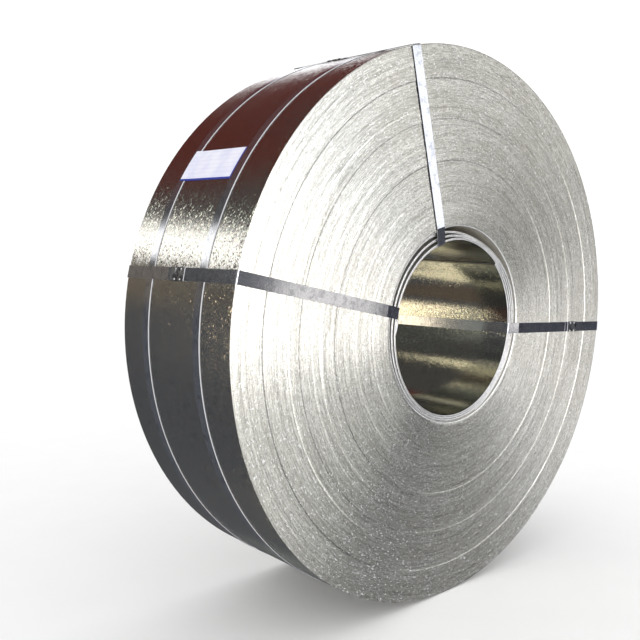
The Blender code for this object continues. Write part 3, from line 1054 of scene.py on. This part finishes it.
PANELS = [
    # Soft walls to the rear right and the rear left, for the views from behind
    ((60.0, 84.0, 5.0), (-35.0, 50.0, 10.0, 10.0), (0.95, 0.94, 0.90)),
    ((-150.0, -98.0, 12.0), (-30.0, 60.0, 10.0, 10.0), (0.46, 0.46, 0.46)),
    # Dull wall beyond the rear end, seen in the bore
    ((-85.0, -51.3, 0.7), (-25.0, 15.0, 8.0, 8.0), (0.29, 0.30, 0.25)),
    ((-60.0, -36.0, 4.0), (-40.0, -27.0, 4.0, 6.0), (0.15, 0.115, 0.085)),
    # Maroon wall high up behind
    ((-12.0, 45.0, 12.0), (25.0, 39.0, 6.0, 4.0), (0.125, 0.034, 0.028)),
    # Window high up behind on the right
    ((24.0, 36.0, 9.0), (13.0, 21.0, 4.0, 7.0), (1.9, 1.9, 1.95)),
    # Warm band of light over the rear left, wider at its left end
    ((-34.0, -26.5, 4.5), (13.5, 18.0, 3.0, 5.5), (2.3, 2.25, 2.1)),
    ((-25.0, 2.0, 4.0), (12.5, 15.0, 3.0, 4.5), (2.3, 2.25, 2.1)),
    # Faint warm light just under it
    ((-30.0, -8.0, 5.0), (2.0, 9.0, 4.0, 1.0), (0.20, 0.165, 0.125)),
    # Low lights behind that the bore mirrors
    ((-48.9, -43.5, 1.0), (-13.0, 0.0, 8.0, 3.0), (3.0, 2.5, 1.7)),
    ((-36.0, -16.0, 4.0), (-54.0, -44.5, 2.0, 2.5), (1.30, 1.14, 0.76)),
    ((-15.0, 3.0, 4.0), (-54.0, -48.5, 2.0, 2.0), (1.30, 1.14, 0.76)),
    ((28.0, 45.0, 5.0), (-41.0, -33.0, 4.0, 4.0), (0.18, 0.19, 0.18)),
    ((-41.5, -33.0, 2.5), (39.0, 44.5, 1.5, 2.5), (1.35, 1.2, 0.78)),
    # Wall to the front right, its lower part brightly lit
    ((90.0, 165.0, 14.0), (11.0, 75.0, 2.0, 12.0), (0.50, 0.485, 0.44)),
    ((127.0, 146.0, 5.0), (2.5, 9.0, 1.5, 3.0), (1.5, 1.48, 1.38)),
    ((128.5, 134.0, 1.5), (0.5, 14.0, 1.0, 1.5), (2.1, 2.1, 2.1)),
    ((137.0, 150.0, 4.0), (20.0, 42.0, 4.0, 8.0), (2.0, 2.0, 1.95)),
    # Small lamp low on the front right
    ((135.6, 141.2, 2.0), (-5.2, -3.0, 1.0, 1.0), (1.55, 1.45, 1.32)),
    # Grey floor to the front right, darker near the wall, bright under the windows
    ((85.0, 175.0, 14.0), (-60.0, -10.0, 10.0, 4.0), (0.34, 0.34, 0.345)),
    ((92.0, 127.0, 4.0), (-38.0, -13.0, 5.0, 3.0), (0.13, 0.13, 0.135)),
    ((108.0, 127.0, 3.0), (-9.0, -2.0, 2.0, 2.0), (0.05, 0.05, 0.065)),
    ((151.0, 192.0, 7.0), (-40.0, -9.0, 8.0, 4.0), (1.85, 1.85, 1.77)),
    # Tall windows in front, reaching lower at their far side
    ((156.0, 192.0, 9.0), (10.0, 40.0, 4.0, 10.0), (3.6, 3.7, 3.95)),
    ((153.0, 192.0, 5.0), (-9.0, 12.0, 5.0, 4.0), (6.0, 5.9, 5.7)),
]


def light_dome():
    """A white room for the camera, and soft panels for what the steel reflects."""
    world = bpy.data.worlds.new("studio_dome")
    bpy.context.scene.world = world
    world.use_nodes = True
    world.cycles.sampling_method = "NONE"
    tree = world.node_tree
    tree.nodes.clear()
    out = tree.nodes.new("ShaderNodeOutputWorld")
    x, y, z = parts_of(tree, tree.nodes.new("ShaderNodeTexCoord").outputs["Generated"])
    degrees = 180.0 / math.pi
    az = maths(tree, "MULTIPLY", maths(tree, "ARCTAN2", x, y), degrees)
    el = maths(tree, "MULTIPLY", maths(tree, "ARCSINE", z), degrees)
    total = mix(tree, spread(tree, el, *HORIZON), DIM_BELOW, DIM_ABOVE)
    for across, upward, colour in PANELS:
        total = panel(tree, total, az, el, across, upward, colour)
    rays = tree.nodes.new("ShaderNodeLightPath")
    glossy = tree.nodes.new("ShaderNodeBackground")
    tree.links.new(total, glossy.inputs["Color"])
    plain = tree.nodes.new("ShaderNodeBackground")
    plain.inputs["Color"].default_value = (1.0, 1.0, 1.0, 1.0)
    plain.inputs["Strength"].default_value = ROOM_STRENGTH
    choose = tree.nodes.new("ShaderNodeMixShader")
    tree.links.new(rays.outputs["Is Glossy Ray"], choose.inputs[0])
    tree.links.new(plain.outputs[0], choose.inputs[1])
    tree.links.new(glossy.outputs[0], choose.inputs[2])
    tree.links.new(choose.outputs[0], out.inputs[0])


def camera():
    """Close to the front end, turned towards the left side of the coil."""
    yaw, pitch, roll = (math.radians(v) for v in (CAMERA_YAW, CAMERA_PITCH, CAMERA_ROLL))
    data = bpy.data.cameras.new("photo_camera")
    data.sensor_width = SENSOR_WIDTH
    data.lens = SENSOR_WIDTH * FOCAL_PIXELS / PICTURE_PIXELS
    data.shift_x = SHIFT_PIXELS / PICTURE_PIXELS
    data.clip_start = 0.05
    obj = bpy.data.objects.new("photo_camera", data)
    bpy.context.scene.collection.objects.link(obj)
    back = Vector(
        (math.sin(yaw) * math.cos(pitch), -math.cos(yaw) * math.cos(pitch), math.sin(pitch))
    )
    right = (-back).cross(Vector((0, 0, 1))).normalized()
    up = right.cross(-back)
    side = right * math.cos(roll) + up * math.sin(roll)
    top = up * math.cos(roll) - right * math.sin(roll)
    turn = Matrix((side, top, back)).transposed().to_4x4()
    obj.matrix_world = Matrix.Translation(CAMERA_PLACE) @ turn
    bpy.context.scene.camera = obj


outer_zinc = rolled_zinc(
    "rolled_zinc",
    dark=(0.52, 0.52, 0.50),
    light=(0.70, 0.70, 0.68),
    rough=0.10,
    cell=0.0034,
    tilt=0.065,
    wave=0.06,
)
bore_zinc = rolled_zinc(
    "bore_zinc",
    dark=(0.40, 0.41, 0.385),
    light=(0.66, 0.67, 0.64),
    rough=0.045,
    cell=0.0024,
    tilt=0.045,
    wave=0.03,
)
dull_zinc = rolled_zinc(
    "dull_zinc",
    dark=(0.44, 0.42, 0.38),
    light=(0.62, 0.60, 0.54),
    rough=0.36,
    cell=0.0034,
    tilt=0.100,
    wave=0.20,
    metallic=0.6,
)
sheared = sheared_edges()
# Bright edge colour: bare cut steel, and a painted highlight on lips, bevels, rims and seals
edge_and_painted_highlight = cut_edge_and_highlight()
strap_face = strapping()
sleeve_steel = seal_steel()

coil_pieces = [
    wound_pack(outer_zinc, sheared, edge_and_painted_highlight, dull_zinc),
    outer_turn(outer_zinc, sheared),
    loose_wraps(bore_zinc, sheared, edge_and_painted_highlight, dull_zinc),
]
for piece in coil_pieces:
    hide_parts("strip_coil")
    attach(piece, "root")

for node in ("hoop_strap_front", "hoop_strap_rear"):
    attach(hoop(node, strap_face, edge_and_painted_highlight), "root")
for node in EYE_ANGLE:
    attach(eye_strap(node, strap_face, edge_and_painted_highlight), "root")
for node in ("hoop_seal_front", "hoop_seal_rear"):
    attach(seal(node, hoop_seal_place(node), False, sleeve_steel, edge_and_painted_highlight), "root")
for node in ("eye_seal_left", "eye_seal_top", "eye_seal_right"):
    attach(seal(node, eye_seal_place(node), True, sleeve_steel, edge_and_painted_highlight), "root")
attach(coil_label(label_card()), "root")

floor()
light_dome()
camera()
bpy.context.scene.view_settings.view_transform = "Standard"
